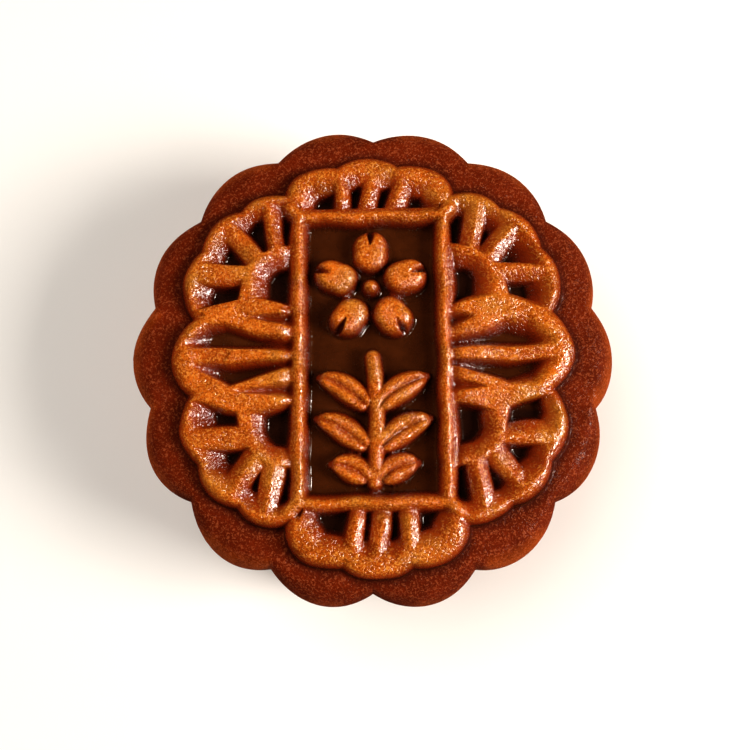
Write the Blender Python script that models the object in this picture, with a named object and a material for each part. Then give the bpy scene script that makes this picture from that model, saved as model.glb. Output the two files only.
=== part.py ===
"""Mooncake: a round moulded cake with a fluted side and a deep relief pressed into its top.

The cake is one solid. Its top is a height field, the relief pressed by the mould: a tall frame round a
sunk panel, a wing at each side of it, a fan of lobes at each corner, a smaller fan at each end, and a
blossom over a leafy sprig in the panel. Pits cut the fans into ribs, and slits cut the wings. Below the
top, rings follow the rounded shoulder, the fluted wall and the rounded foot down to a flat base.

Lengths are in millimetres, and MM turns them into Blender's metres. The origin is the middle of the
base, +Z is up, and the panel's long side runs along Y.
"""

import math
from dataclasses import dataclass, field
from typing import Callable

import bmesh
import bpy
import numpy as np

MM = 0.001

# Driving dimensions
HEIGHT = 32.0  # base to the crests of the relief
RELIEF_DEPTH = 2.9  # crests to the panel's floor
FAN_HEIGHT = 0.92  # of the fans beside that of the wings
TOP_RADIUS = 34.0  # the pressed top, inside the rounded shoulder
RIM_RADIUS = 38.7  # to the middle of a flute
FLUTE_RADIUS = 11.0  # of one flute's round
FLUTE_COUNT = 14
OVAL = 0.012  # the share by which the plan is longer along Y
SHOULDER_DROP = 7.0
WALL_BULGE = 0.5
FOOT_ROUND = 2.2
STAMP_TURN = math.radians(0.8)  # the relief sits a little askew in the flutes

# Fineness of the mesh
GRID_CELLS = 150
SHOULDER_RINGS = 7
WALL_RINGS = 4
FOOT_RINGS = 3
KEPT_SHARE = 0.145  # of the faces, after Decimate

CRUST_COLOUR = (0.40, 0.12, 0.03, 1.0)
CRUST_ROUGHNESS = 0.38


@dataclass(frozen=True)
class Slope:
    """How one side of a stroke falls away: its width, and the roundness at its top and its foot."""

    width: float
    top: float = 2.3
    foot: float = 0.72


STEEP = Slope(1.35)
BAR_SIDE = Slope(1.4, 1.6, 0.8)
RIM_SIDE = Slope(2.0, 1.9, 0.85)
PETAL_SIDE = Slope(1.8)
LEAF_SIDE = Slope(1.5, 2.2, 0.75)
VEIN_SIDE = Slope(0.6, 1.4, 1.0)
NOTCH_SIDE = Slope(1.1, 1.3, 1.0)
GROOVE_SIDE = Slope(1.3, 1.3, 1.0)


@dataclass(frozen=True)
class Stroke:
    """A ridge or a groove along a line, with a slope of its own on the left and on the right."""

    points: np.ndarray
    left: Slope
    right: Slope
    crown: float = 0.15  # half the flat width along the top
    strength: float = 1.0
    taper: Callable = field(default=np.ones_like)  # width factor from start, 0, to end, 1

    def at(self, x, y):
        """The stroke's strength at each point, 0 off the stroke to its full strength on the line."""
        reach = self.crown + max(self.left.width, self.right.width)
        low = self.points.min(axis=0) - 1.3 * reach
        high = self.points.max(axis=0) + 1.3 * reach
        near = (x > low[0]) & (x < high[0]) & (y > low[1]) & (y < high[1])
        distance, side, along = nearest_on_line(self.points, x[near], y[near])
        width = np.maximum(self.taper(along), 0.02)
        beyond = np.maximum(distance / width - self.crown, 0.0)
        level = np.where(side >= 0.0, fall(beyond, self.left), fall(beyond, self.right))
        result = np.zeros_like(x)
        result[near] = level * self.strength * np.minimum(1.0, 1.6 * width)
        return result

    def filled(self, x, y):
        """Level of the ground that the stroke rims: 1 on its left, and the stroke's slope on its right."""
        distance, side, along = nearest_on_line(self.points, x, y)
        return np.where(side >= 0.0, 1.0, fall(np.maximum(distance - self.crown, 0.0), self.right))


def nearest_on_line(points, x, y):
    """Distance to a polyline, the side of it (positive on the left) and the share of its length."""
    steps = np.hypot(*np.diff(points, axis=0).T)
    starts = np.concatenate([[0.0], np.cumsum(steps)])
    distance = np.full_like(x, np.inf)
    side = np.zeros_like(x)
    along = np.zeros_like(x)
    for first, second, start, step in zip(points[:-1], points[1:], starts, steps):
        run = second - first
        share = np.clip(((x - first[0]) * run[0] + (y - first[1]) * run[1]) / step**2, 0.0, 1.0)
        off_x = x - first[0] - share * run[0]
        off_y = y - first[1] - share * run[1]
        gap = np.hypot(off_x, off_y)
        closer = gap < distance
        distance = np.where(closer, gap, distance)
        side = np.where(closer, run[0] * off_y - run[1] * off_x, side)
        along = np.where(closer, (start + share * step) / starts[-1], along)
    return distance, side, along


def fall(distance, slope):
    """Height left at a distance from a stroke's crown: 1 at the crown, 0 past the slope's width."""
    return (1.0 - np.clip(distance / slope.width, 0.0, 1.0) ** slope.top) ** slope.foot


def smooth_step(low, high, value):
    """Rise softly from 0 at low to 1 at high."""
    share = np.clip((value - low) / (high - low), 0.0, 1.0)
    return share * share * (3.0 - 2.0 * share)


def blend_highest(levels):
    """The highest of several levels, with a soft join where two are alike."""
    return sum(level**9 for level in levels) ** (1.0 / 9.0)


def straight(start, end, bow=0.0, count=9):
    """Points from start to end, bowed to the left by the given height at the middle."""
    start, end = np.array(start, dtype=float), np.array(end, dtype=float)
    share = np.linspace(0.0, 1.0, count)[:, None]
    run = end - start
    sideways = np.array([-run[1], run[0]]) / np.hypot(*run)
    return start + run * share + sideways * bow * 4.0 * share * (1.0 - share)


def polar(centre, radius, degrees):
    """The point at a radius and an angle from a centre."""
    angle = math.radians(degrees)
    return (centre[0] + radius * math.cos(angle), centre[1] + radius * math.sin(angle))


def scalloped_arc(centre, semi_axes, cusps, bulge, count=11):
    """An elliptic arc that bulges out between each two of its cusp angles, in degrees."""
    points = []
    for start, end in zip(cusps[:-1], cusps[1:]):
        for share in np.linspace(0.0, 1.0, count, endpoint=end == cusps[-1]):
            angle = math.radians(start + (end - start) * share)
            swell = bulge * math.sin(math.pi * share) ** 0.8
            reach = (semi_axes[0] + swell, semi_axes[1] + swell)
            points.append((centre[0] + reach[0] * math.cos(angle), centre[1] + reach[1] * math.sin(angle)))
    return np.array(points)


# Pits: flat facets slope in from the rim, and then the pit drops steeply.
FACET_FALL = 0.2  # share of the relief's depth in a millimetre
WALL_FALL = 1.2


def pit_depth(corners, x, y):
    """Depth of a pit as a share of the relief.

    Each corner, counter-clockwise, is its x, its y and the width of the facet that starts there.
    """
    share = np.ones_like(x)
    for (first_x, first_y, width), (last_x, last_y, _) in zip(corners, corners[1:] + corners[:1]):
        run_x, run_y = last_x - first_x, last_y - first_y
        inward = (run_x * (y - first_y) - run_y * (x - first_x)) / math.hypot(run_x, run_y)
        facet = FACET_FALL * np.minimum(inward, width)
        share = np.minimum(share, facet + WALL_FALL * np.maximum(inward - width, 0.0))
    return np.maximum(share, 0.0)


@dataclass(frozen=True)
class Gap:
    """Where a fan's pit lies between two ribs."""

    roots: tuple  # its start and its end on the fan's inner line
    tips: tuple  # its start and its end on the fan's rim, in degrees
    facets: tuple  # facet widths at its start, at the rim, at its end and at the inner line

    def corners(self, root_point, tip_point):
        """The pit's corners, from the functions that give points on the inner line and on the rim."""
        return [
            (*root_point(self.roots[0]), self.facets[0]),
            (*tip_point(self.tips[0], 0.0), self.facets[1]),
            (*tip_point(sum(self.tips) / 2.0, 0.5), self.facets[1]),
            (*tip_point(self.tips[1], 0.0), self.facets[2]),
            (*root_point(self.roots[1]), self.facets[3]),
        ]


def carve(rim, pits, x, y, within):
    """Level of the ground on the left of a rim, with pits cut into it, and 0 outside the given part."""
    ground = rim.filled(x, y)
    depth = np.maximum.reduce([pit_depth(corners, x, y) for corners in pits])
    return np.where(within, np.minimum(ground, 1.0 - depth), 0.0)


# Corner fans: three lobes round a hub, laid out in the +X +Y quarter and mirrored.
HUB = (12.2, 8.9)
HUB_FOOT = (12.3, 7.4)  # where the wing meets the bar
HUB_ANGLES = (0.0, 27.0, 46.0, 64.0, 88.0)
ROOT_RADIUS, TIP_RADIUS = 8.1, 15.3
LOBE_CUSPS = (-7.0, 28.5, 60.0, 90.0)
LOBE_BULGE = 1.25
LOBE_CREST_RADIUS = 14.4


@dataclass(frozen=True)
class CornerFan:
    """A fan at a corner of the frame; its gaps' roots are angles round the hub."""

    mirror: tuple
    gaps: tuple
    hub_facet: float

    def root_point(self, angle):
        """The point at an angle on the ring round the hub."""
        return polar(HUB, ROOT_RADIUS, angle)

    def tip_point(self, angle, swell):
        """The point at an angle near the lobes' crests, out by a share of their bulge."""
        return polar(HUB, TIP_RADIUS + swell * LOBE_BULGE, angle)

    def hub_corners(self):
        """Corners of the pit inside the hub's arc, closed by the wing and the bar."""
        corners = [(*HUB_FOOT, 0.0)]
        for angle in HUB_ANGLES:
            radius = 6.4 + 1.3 * math.sin(1.6 * math.radians(angle))
            width = 0.0 if angle == HUB_ANGLES[-1] else self.hub_facet
            corners.append((*polar(HUB, radius, angle), width))
        return corners

    def level(self, x, y):
        """Level of the fan with its pits."""
        across, up = x * self.mirror[0], y * self.mirror[1]
        arc = scalloped_arc(HUB, (LOBE_CREST_RADIUS, LOBE_CREST_RADIUS), LOBE_CUSPS, LOBE_BULGE)
        rim = Stroke(arc, RIM_SIDE, RIM_SIDE, 0.1)
        pits = [gap.corners(self.root_point, self.tip_point) for gap in self.gaps]
        return carve(rim, pits + [self.hub_corners()], across, up, (across > 0.0) & (up > 0.0))


CORNER_FANS = (
    CornerFan(
        (1, 1),
        (
            Gap((-2.0, 28.0), (-10.0, 14.0), (0.0, 3.6, 1.7, 0.7)),
            Gap((35.0, 45.0), (15.0, 47.5), (0.5, 5.0, 1.6, 0.4)),
            Gap((46.0, 66.0), (48.5, 72.5), (1.8, 3.6, 1.2, 0.3)),
            Gap((67.0, 91.0), (73.5, 93.0), (1.7, 2.6, 0.0, 0.1)),
        ),
        2.6,
    ),
    CornerFan(
        (-1, 1),
        (
            Gap((-2.0, 22.0), (-8.0, 11.5), (0.0, 2.9, 1.0, 0.1)),
            Gap((34.0, 47.0), (20.0, 48.0), (0.3, 2.8, 1.6, 0.4)),
            Gap((54.0, 70.5), (51.0, 74.5), (0.4, 2.0, 0.9, 0.2)),
            Gap((72.0, 89.0), (75.5, 90.5), (1.3, 2.6, 0.1, 0.1)),
        ),
        2.3,
    ),
    CornerFan(
        (-1, -1),
        (
            Gap((-2.0, 20.0), (-8.0, 11.0), (0.0, 3.6, 0.8, 0.1)),
            Gap((34.0, 48.5), (18.0, 52.0), (0.7, 3.6, 1.8, 0.4)),
            Gap((53.0, 69.5), (53.5, 74.5), (1.3, 2.6, 1.5, 0.6)),
            Gap((71.5, 89.0), (75.5, 90.0), (1.5, 1.8, 0.1, 0.1)),
        ),
        1.9,
    ),
    CornerFan(
        (1, -1),
        (
            Gap((-4.0, 28.5), (-10.0, 13.5), (0.0, 2.2, 2.0, 0.0)),
            Gap((32.5, 47.0), (17.5, 49.0), (0.6, 2.8, 1.6, 0.3)),
            Gap((48.5, 67.0), (49.5, 73.5), (1.5, 2.4, 1.3, 0.4)),
            Gap((69.0, 91.0), (74.0, 92.0), (1.6, 2.2, 0.0, 0.1)),
        ),
        2.1,
    ),
)


@dataclass(frozen=True)
class EndFan:
    """A fan above or below the frame, laid out on the +Y side; its gaps' roots are x at the bar."""

    side: int
    gaps: tuple
    centre: tuple
    semi_axes: tuple
    cusps: tuple
    root_height: float
    tip_margin: float  # from the lobes' crests in to the pits' outer ends
    bulge: float = 1.55

    def root_point(self, place):
        """The point at an x on the line beside the bar."""
        return (place, self.root_height)

    def tip_point(self, angle, swell):
        """The point at an angle near the lobes' crests, out by a share of their bulge."""
        turn = math.radians(angle)
        reach = swell * self.bulge - self.tip_margin
        across = self.centre[0] + (self.semi_axes[0] + reach) * math.cos(turn)
        up = self.centre[1] + (self.semi_axes[1] + reach) * math.sin(turn)
        return (across, up)

    def level(self, x, y):
        """Level of the fan with its pits."""
        up = y * self.side
        arc = scalloped_arc(self.centre, self.semi_axes, self.cusps, self.bulge)
        pits = [gap.corners(self.root_point, self.tip_point) for gap in self.gaps]
        return carve(Stroke(arc, RIM_SIDE, RIM_SIDE, 0.1), pits, x, up, up > 20.0)


END_FANS = (
    EndFan(
        1,
        (
            Gap((11.2, 3.9), (17.0, 62.0), (1.2, 2.3, 1.4, 0.0)),
            Gap((3.3, -0.5), (63.0, 85.0), (1.1, 2.0, 1.0, 0.0)),
            Gap((-1.1, -4.4), (87.0, 113.0), (0.9, 2.0, 1.0, 0.0)),
            Gap((-4.7, -10.8), (115.0, 164.0), (0.7, 2.0, 1.9, 0.0)),
        ),
        (-0.2, 23.3),
        (11.6, 5.2),
        (12.0, 70.0, 112.0, 168.0),
        22.9,
        0.2,
    ),
    EndFan(
        -1,
        (
            Gap((12.2, 5.2), (12.0, 64.0), (1.3, 2.2, 1.2, 0.0)),
            Gap((4.7, 1.4), (66.0, 88.0), (1.1, 2.4, 0.9, 0.0)),
            Gap((1.0, -2.5), (90.0, 107.0), (1.2, 2.4, 1.0, 0.0)),
            Gap((-2.7, -10.5), (110.0, 166.0), (0.9, 2.0, 1.7, 0.0)),
        ),
        (0.3, 24.2),
        (11.9, 6.3),
        (12.0, 67.0, 113.0, 168.0),
        23.4,
        0.5,
    ),
)


@dataclass(frozen=True)
class Station:
    """A cross-section of a slit, at a distance along the wing; its lines are given by their y."""

    along: float
    rib: float  # where the wall on the rib's side starts to fall
    near: float  # the floor's edge on the rib's side
    far: float  # the floor's other edge
    pad: float  # the crest that the far wall rises to
    depth: float = 0.95


def slit_depth(stations, outward, y):
    """Depth of a slit that is lofted through its stations, on a wing that points along +X."""
    along = [station.along for station in stations]
    rib = np.interp(outward, along, [station.rib for station in stations])
    near = np.interp(outward, along, [station.near for station in stations])
    far = np.interp(outward, along, [station.far for station in stations])
    pad = np.interp(outward, along, [station.pad for station in stations])
    depth = np.interp(outward, along, [station.depth for station in stations])
    rib_share = np.clip((y - rib) / (near - rib), 0.0, 1.0)
    pad_share = np.clip((pad - y) / (pad - far), 0.0, 1.0)
    end = smooth_step(along[-1], along[-1] - 0.6, outward)
    return depth * np.minimum(rib_share**0.9, pad_share**1.25) * end


@dataclass(frozen=True)
class Wing:
    """The broad petal at one side of the frame, with two slits beside a middle rib."""

    side: int
    middle: float  # the y of its middle
    slits: tuple
    grooves: tuple  # the ends of the two short grooves beside the bar
    centre: float = 18.0
    outer_reach: float = 13.15
    inner_reach: float = 9.6
    half_width: float = 9.35
    edge: Slope = Slope(2.7, 3.0, 0.64)
    dish: float = 0.13  # how far its outer half dips inside its rim

    def level(self, x, y):
        """Height of the wing as a share of the relief, before its slits are cut."""
        outward = x * self.side - self.centre
        across = outward / np.where(outward > 0.0, self.outer_reach, self.inner_reach)
        ratio = np.hypot(across, (y - self.middle) / self.half_width)
        inside = (1.0 - ratio) * np.where(ratio > 0.3, self.half_width + 1.6 * np.abs(across), 99.0)
        rise = fall(np.maximum(self.edge.width - inside, 0.0), self.edge)
        rise = rise - self.dish * smooth_step(1.9, 5.0, inside) * smooth_step(-5.0, 4.0, outward)
        return np.where(x * self.side > 0.0, rise, 0.0)

    def cut(self, x, y):
        """Depth of the slits and the grooves, as a share of the relief."""
        outward = x * self.side
        depths = [slit_depth(stations, outward, y) for stations in self.slits]
        for start, end in self.grooves:
            groove = Stroke(straight(start, end), GROOVE_SIDE, GROOVE_SIDE, 0.0, 0.55, opening_taper)
            depths.append(groove.at(outward, y))
        return np.where(outward > 0.0, np.maximum.reduce(depths), 0.0)


def opening_taper(along):
    """A groove opens towards its end."""
    return 0.2 + 0.85 * along


WINGS = (
    Wing(
        1,
        0.4,
        (
            (
                Station(12.2, 0.5, 1.35, 1.6, 2.5, 0.6),
                Station(17.4, 0.65, 1.9, 2.2, 4.1),
                Station(20.3, 0.6, 1.95, 3.0, 5.4),
                Station(23.5, 0.5, 1.8, 2.05, 6.4),
                Station(28.0, 0.3, 1.2, 1.4, 2.4, 0.0),
            ),
            (
                Station(12.2, -0.8, -1.35, -1.6, -2.2, 0.6),
                Station(17.2, -1.2, -2.15, -2.7, -3.65),
                Station(20.6, -1.3, -2.5, -3.8, -5.2),
                Station(24.1, -1.25, -1.85, -2.5, -5.4),
                Station(28.2, -0.5, -0.9, -1.0, -1.9, 0.0),
            ),
        ),
        (((15.4, 5.6), (12.2, 5.0)), ((16.6, -5.3), (12.2, -5.0))),
    ),
    Wing(
        -1,
        -0.4,
        (
            (
                Station(13.0, 0.3, 1.3, 1.55, 2.7, 0.6),
                Station(17.5, 0.7, 1.85, 2.15, 3.35),
                Station(22.6, 0.85, 1.9, 3.6, 5.1),
                Station(24.7, 0.8, 1.8, 2.9, 5.3),
                Station(29.4, 0.7, 1.5, 1.7, 2.4, 0.0),
            ),
            (
                Station(13.0, -0.6, -1.35, -1.55, -2.5, 0.6),
                Station(17.7, -0.75, -2.2, -2.65, -3.65),
                Station(21.7, -1.25, -2.8, -4.1, -5.1),
                Station(23.6, -1.0, -2.3, -3.2, -4.0, 0.85),
                Station(27.7, -0.7, -1.3, -1.45, -2.0, 0.0),
            ),
        ),
        (((19.4, 5.95), (12.2, 5.3)), ((20.6, -5.5), (12.2, -5.5))),
    ),
)

# The frame round the panel: the middle lines of its bars
BAR_LEFT, BAR_RIGHT = -11.2, 11.0
BAR_BOTTOM, BAR_TOP = -22.3, 21.6
CORNER_SPUR = 1.4  # how far a short spur runs out from each corner, to join the fans


def frame_strokes():
    """The four bars round the panel, as one closed stroke, and a spur at each corner."""
    corners = (
        (BAR_LEFT, BAR_BOTTOM),
        (BAR_RIGHT, BAR_BOTTOM),
        (BAR_RIGHT, BAR_TOP),
        (BAR_LEFT, BAR_TOP),
        (BAR_LEFT, BAR_BOTTOM),
    )
    strokes = [Stroke(np.array(corners), BAR_SIDE, BAR_SIDE, 0.1)]
    for x, y in corners[:-1]:
        end = (x + math.copysign(CORNER_SPUR, x), y + math.copysign(CORNER_SPUR, y))
        strokes.append(Stroke(straight((x, y), end), BAR_SIDE, BAR_SIDE, 0.3))
    return strokes


BLOSSOM = (-0.2, 10.4)
PETAL_COUNT = 5
SPRIG_TOP, SPRIG_FOOT = (0.0, -0.6), (0.0, -19.4)
LEAF_PAIRS = (  # for each pair, the y of its root, and the reach across and up to its tips
    (-8.4, 8.2, 4.9),
    (-14.6, 8.4, 4.7),
    (-19.3, 6.4, 2.6),
)


def blossom_strokes():
    """A five-petalled blossom: its round petals and the knob in the middle."""
    strokes = []
    for number in range(PETAL_COUNT):
        angle = 90.0 + number * 360.0 / PETAL_COUNT
        line = straight(polar(BLOSSOM, 5.0, angle), polar(BLOSSOM, 6.3, angle), count=3)
        strokes.append(Stroke(line, PETAL_SIDE, PETAL_SIDE, 1.15))
    knob = straight((BLOSSOM[0] - 0.05, BLOSSOM[1]), (BLOSSOM[0] + 0.05, BLOSSOM[1]), count=2)
    return strokes + [Stroke(knob, BAR_SIDE, BAR_SIDE, 0.2, 0.92)]


def blossom_notches():
    """The notch in the outer edge of each petal."""
    notches = []
    for number in range(PETAL_COUNT):
        angle = 90.0 + number * 360.0 / PETAL_COUNT
        line = straight(polar(BLOSSOM, 6.6, angle), polar(BLOSSOM, 9.6, angle))
        notches.append(Stroke(line, NOTCH_SIDE, NOTCH_SIDE, 0.0, 0.9, opening_taper))
    return notches


def leaf_taper(along):
    """A leaf swells from its stalk and narrows to its tip."""
    return 0.3 + 0.7 * np.sin(math.pi * np.clip(along, 0.0, 1.0) ** 0.9) ** 0.7


def leaf_lines():
    """The middle line of each leaf of the sprig, from the stem out to the tip."""
    lines = []
    for root, across, up in LEAF_PAIRS:
        for side in (1, -1):
            lines.append(straight((side * 0.9, root), (side * across, root + up), side * 0.7))
    return lines


def sprig_strokes():
    """A leafy sprig: its stem and three pairs of leaves."""
    strokes = [Stroke(straight(SPRIG_TOP, SPRIG_FOOT, 0.5), STEEP, STEEP, 0.15, 0.97)]
    for line in leaf_lines():
        strokes.append(Stroke(line, LEAF_SIDE, LEAF_SIDE, 1.0, 1.0, leaf_taper))
    return strokes


def sprig_veins():
    """The shallow groove along the middle of each leaf."""
    return [Stroke(line, VEIN_SIDE, VEIN_SIDE, 0.0, 0.28, leaf_taper) for line in leaf_lines()]


def relief(x, y):
    """Height of the relief as a share of its depth, 0 on the floors and about 1 on the crests."""
    turned_x = x * math.cos(STAMP_TURN) + y * math.sin(STAMP_TURN)
    turned_y = y * math.cos(STAMP_TURN) - x * math.sin(STAMP_TURN)
    fan_levels = [fan.level(turned_x, turned_y) for fan in CORNER_FANS + END_FANS]
    fans = FAN_HEIGHT * np.maximum.reduce(fan_levels)
    wings = [wing.level(turned_x, turned_y) for wing in WINGS]
    cuts = np.maximum.reduce([wing.cut(turned_x, turned_y) for wing in WINGS])
    surround = np.minimum(blend_highest([fans, *wings]), 1.0 - cuts)
    past_bar = np.maximum.reduce(
        [BAR_LEFT - turned_x, turned_x - BAR_RIGHT, BAR_BOTTOM - turned_y, turned_y - BAR_TOP]
    )
    beside_bar = 0.78 + 0.22 * smooth_step(1.2, 2.6, past_bar)
    surround = surround * smooth_step(-0.1, 0.4, past_bar) * beside_bar
    motif = blend_highest([stroke.at(turned_x, turned_y) for stroke in blossom_strokes() + sprig_strokes()])
    for groove in blossom_notches() + sprig_veins():
        motif = np.minimum(motif, 1.0 - groove.at(turned_x, turned_y))
    frame = [stroke.at(turned_x, turned_y) for stroke in frame_strokes()]
    level = np.minimum(blend_highest([surround, motif, *frame]), 1.03)
    return level * smooth_step(TOP_RADIUS, TOP_RADIUS - 0.8, np.hypot(x, y))


def flute_radius(angle):
    """Radius of the fluted outline at an angle: round flutes that meet in sharp cusps, one at +Y."""
    pitch = 2.0 * math.pi / FLUTE_COUNT
    turn = (angle - math.pi / 2.0) % pitch - pitch / 2.0
    centre = RIM_RADIUS - FLUTE_RADIUS
    radius = centre * np.cos(turn) + np.sqrt(FLUTE_RADIUS**2 - (centre * np.sin(turn)) ** 2)
    return radius * (1.0 + OVAL * np.sin(angle) ** 2)


def disk_from_square(across, up):
    """Map the square from -1 to 1 onto the unit disk, keeping areas alike. Returns radius and angle."""
    wide = np.abs(across) >= np.abs(up)
    radius = np.where(wide, across, up)
    longer = np.where(np.abs(radius) < 1e-9, 1.0, radius)
    share = np.where(wide, up, across) / longer * math.pi / 4.0
    angle = np.where(wide, share, math.pi / 2.0 - share)
    return radius, angle


def side_profile():
    """Rings below the top: the share of the way out to the flutes, an inset and a height for each."""
    floor = HEIGHT - RELIEF_DEPTH
    wall_top = floor - SHOULDER_DROP
    rings = []
    for turn in np.linspace(0.0, math.pi / 2.0, SHOULDER_RINGS + 1)[1:]:
        rings.append((math.sin(turn), 0.0, floor - SHOULDER_DROP * (1.0 - math.cos(turn))))
    for share in np.linspace(0.0, 1.0, WALL_RINGS + 1)[1:]:
        bulge = WALL_BULGE * math.sin(math.pi * share)
        rings.append((1.0, -bulge, wall_top + (FOOT_ROUND - wall_top) * share))
    for turn in np.linspace(0.0, math.pi / 2.0, FOOT_RINGS + 1)[1:]:
        rings.append((1.0, FOOT_ROUND * (1.0 - math.cos(turn)), FOOT_ROUND * (1.0 - math.sin(turn))))
    return rings


def build_cake_mesh():
    """The cake's mesh: the pressed top, the rings of its side and the flat base."""
    mesh = bpy.data.meshes.new("mooncake")
    shape = bmesh.new()
    bmesh.ops.create_grid(shape, x_segments=GRID_CELLS, y_segments=GRID_CELLS, size=1.0)
    square = np.array([vertex.co[:2] for vertex in shape.verts])
    radius, angle = disk_from_square(square[:, 0], square[:, 1])
    x, y = TOP_RADIUS * radius * np.cos(angle), TOP_RADIUS * radius * np.sin(angle)
    z = HEIGHT - RELIEF_DEPTH + RELIEF_DEPTH * relief(x, y)
    for vertex, place in zip(shape.verts, np.stack([x, y, z], axis=1) * MM):
        vertex.co = place

    edge = [one for one in shape.edges if one.is_boundary]
    for outward, inset, height in side_profile():
        grown = bmesh.ops.extrude_edge_only(shape, edges=edge)["geom"]
        edge = [item for item in grown if isinstance(item, bmesh.types.BMEdge)]
        for vertex in (item for item in grown if isinstance(item, bmesh.types.BMVert)):
            direction = math.atan2(vertex.co.y, vertex.co.x)
            reach = TOP_RADIUS + (flute_radius(direction) - TOP_RADIUS) * outward - inset
            vertex.co = np.array([reach * math.cos(direction), reach * math.sin(direction), height]) * MM
    bmesh.ops.contextual_create(shape, geom=edge)
    bmesh.ops.triangulate(shape, faces=shape.faces[:])
    bmesh.ops.recalc_face_normals(shape, faces=shape.faces[:])
    shape.to_mesh(mesh)
    shape.free()
    mesh.shade_smooth()
    return mesh


def crust_material():
    """Baked, egg-washed crust."""
    material = bpy.data.materials.new("crust")
    material.use_nodes = True
    shader = material.node_tree.nodes["Principled BSDF"]
    shader.inputs["Base Color"].default_value = CRUST_COLOUR
    shader.inputs["Roughness"].default_value = CRUST_ROUGHNESS
    shader.inputs["Metallic"].default_value = 0.0
    return material


def main():
    """Clear the scene and build the mooncake in a collection of its own."""
    for item in list(bpy.data.objects):
        bpy.data.objects.remove(item, do_unlink=True)
    collection = bpy.data.collections.new("mooncake")
    bpy.context.scene.collection.children.link(collection)
    cake = bpy.data.objects.new("mooncake", build_cake_mesh())
    cake.data.materials.append(crust_material())
    collection.objects.link(cake)
    decimate = cake.modifiers.new("Decimate", "DECIMATE")
    decimate.ratio = KEPT_SHARE


if __name__ == "__main__":
    main()
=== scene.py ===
"""Mooncake: the looks of a moulded, egg-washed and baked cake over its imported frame.

The cake is one skin. Its top is a height field pressed by the ridges and grooves of a mould, its side is
lofted through rings, and its crust is one procedural finish that reads three measures stored on the skin:
how high a point stands in the relief, how much wash has pooled there, and how far out on the shoulder it
is.

Lengths of the cake's own shape are in millimetres, and MM turns them into metres. A level is a share of
the relief's depth: 0 on the floors and about 1 on the crests.
"""

import logging
import math
from dataclasses import dataclass
from enum import Enum
from functools import partial
from typing import Any, Callable, Iterable, Sequence

import bpy
import numpy as np
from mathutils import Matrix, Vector


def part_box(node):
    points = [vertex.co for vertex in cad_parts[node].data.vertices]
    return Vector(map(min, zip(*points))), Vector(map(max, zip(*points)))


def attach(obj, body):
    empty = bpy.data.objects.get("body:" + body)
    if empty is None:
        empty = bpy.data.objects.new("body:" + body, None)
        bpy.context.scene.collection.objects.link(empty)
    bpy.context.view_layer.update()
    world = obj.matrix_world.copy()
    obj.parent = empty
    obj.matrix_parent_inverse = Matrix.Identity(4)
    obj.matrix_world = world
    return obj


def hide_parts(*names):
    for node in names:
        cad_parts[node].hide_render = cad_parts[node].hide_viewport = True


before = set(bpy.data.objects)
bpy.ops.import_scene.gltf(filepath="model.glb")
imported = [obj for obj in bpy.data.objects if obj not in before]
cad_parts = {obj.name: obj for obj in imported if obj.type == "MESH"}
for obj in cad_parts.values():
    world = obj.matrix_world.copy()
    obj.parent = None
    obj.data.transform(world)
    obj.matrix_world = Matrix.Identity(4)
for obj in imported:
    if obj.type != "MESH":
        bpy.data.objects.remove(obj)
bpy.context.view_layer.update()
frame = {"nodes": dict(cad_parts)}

MM = 0.001
HIGHEST_LEVEL = 1.03  # where two ridges join, their crest is held down to this
LOBE_POINTS = 11  # of a fan's crest line, for each lobe
RIM_CROWN = 0.1  # half the width of a fan's flat crest
UNDER, OVER = 6, 7  # the two colours of a node that lays one over the other, by input number
Point = tuple[float, float]
Array = np.ndarray
Socket = bpy.types.NodeSocket
log = logging.getLogger("mooncake")


# Strokes: the ridges and grooves of the mould


@dataclass(frozen=True)
class Slope:
    """How a stroke falls away.

    Attributes:
        width: how far the slope runs, in millimetres.
        top: how round the slope's shoulder is; 1 is a sharp crest, 2 and more a round one.
        foot: how the slope meets the floor; under 1 it drops steeply, over 1 it runs out softly.
    """

    width: float
    top: float = 2.3
    foot: float = 0.72

    def fall(self, distance: Array) -> Array:
        """Level left at a distance from the crown: 1 at the crown, 0 past the slope."""
        share = np.clip(distance / self.width, 0.0, 1.0)
        return (1.0 - share**self.top) ** self.foot


class Flank(Enum):
    """The slopes that the mould repeats."""

    STEM = Slope(1.35)
    BAR = Slope(1.4, 1.6, 0.8)
    RIM = Slope(2.0, 1.9, 0.85)
    PETAL = Slope(1.8)
    LEAF = Slope(1.5, 2.2, 0.75)
    VEIN = Slope(0.6, 1.4, 1.0)
    NOTCH = Slope(1.1, 1.3, 1.0)
    GROOVE = Slope(1.3, 1.3, 1.0)


def opening_width(along: Array) -> Array:
    """Width factor of a groove that opens towards its end."""
    return 0.2 + 0.85 * along


def leaf_width(along: Array) -> Array:
    """Width factor of a leaf, which swells from its stalk and narrows to its tip."""
    return 0.3 + 0.7 * np.sin(math.pi * np.clip(along, 0.0, 1.0) ** 0.9) ** 0.7


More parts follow.
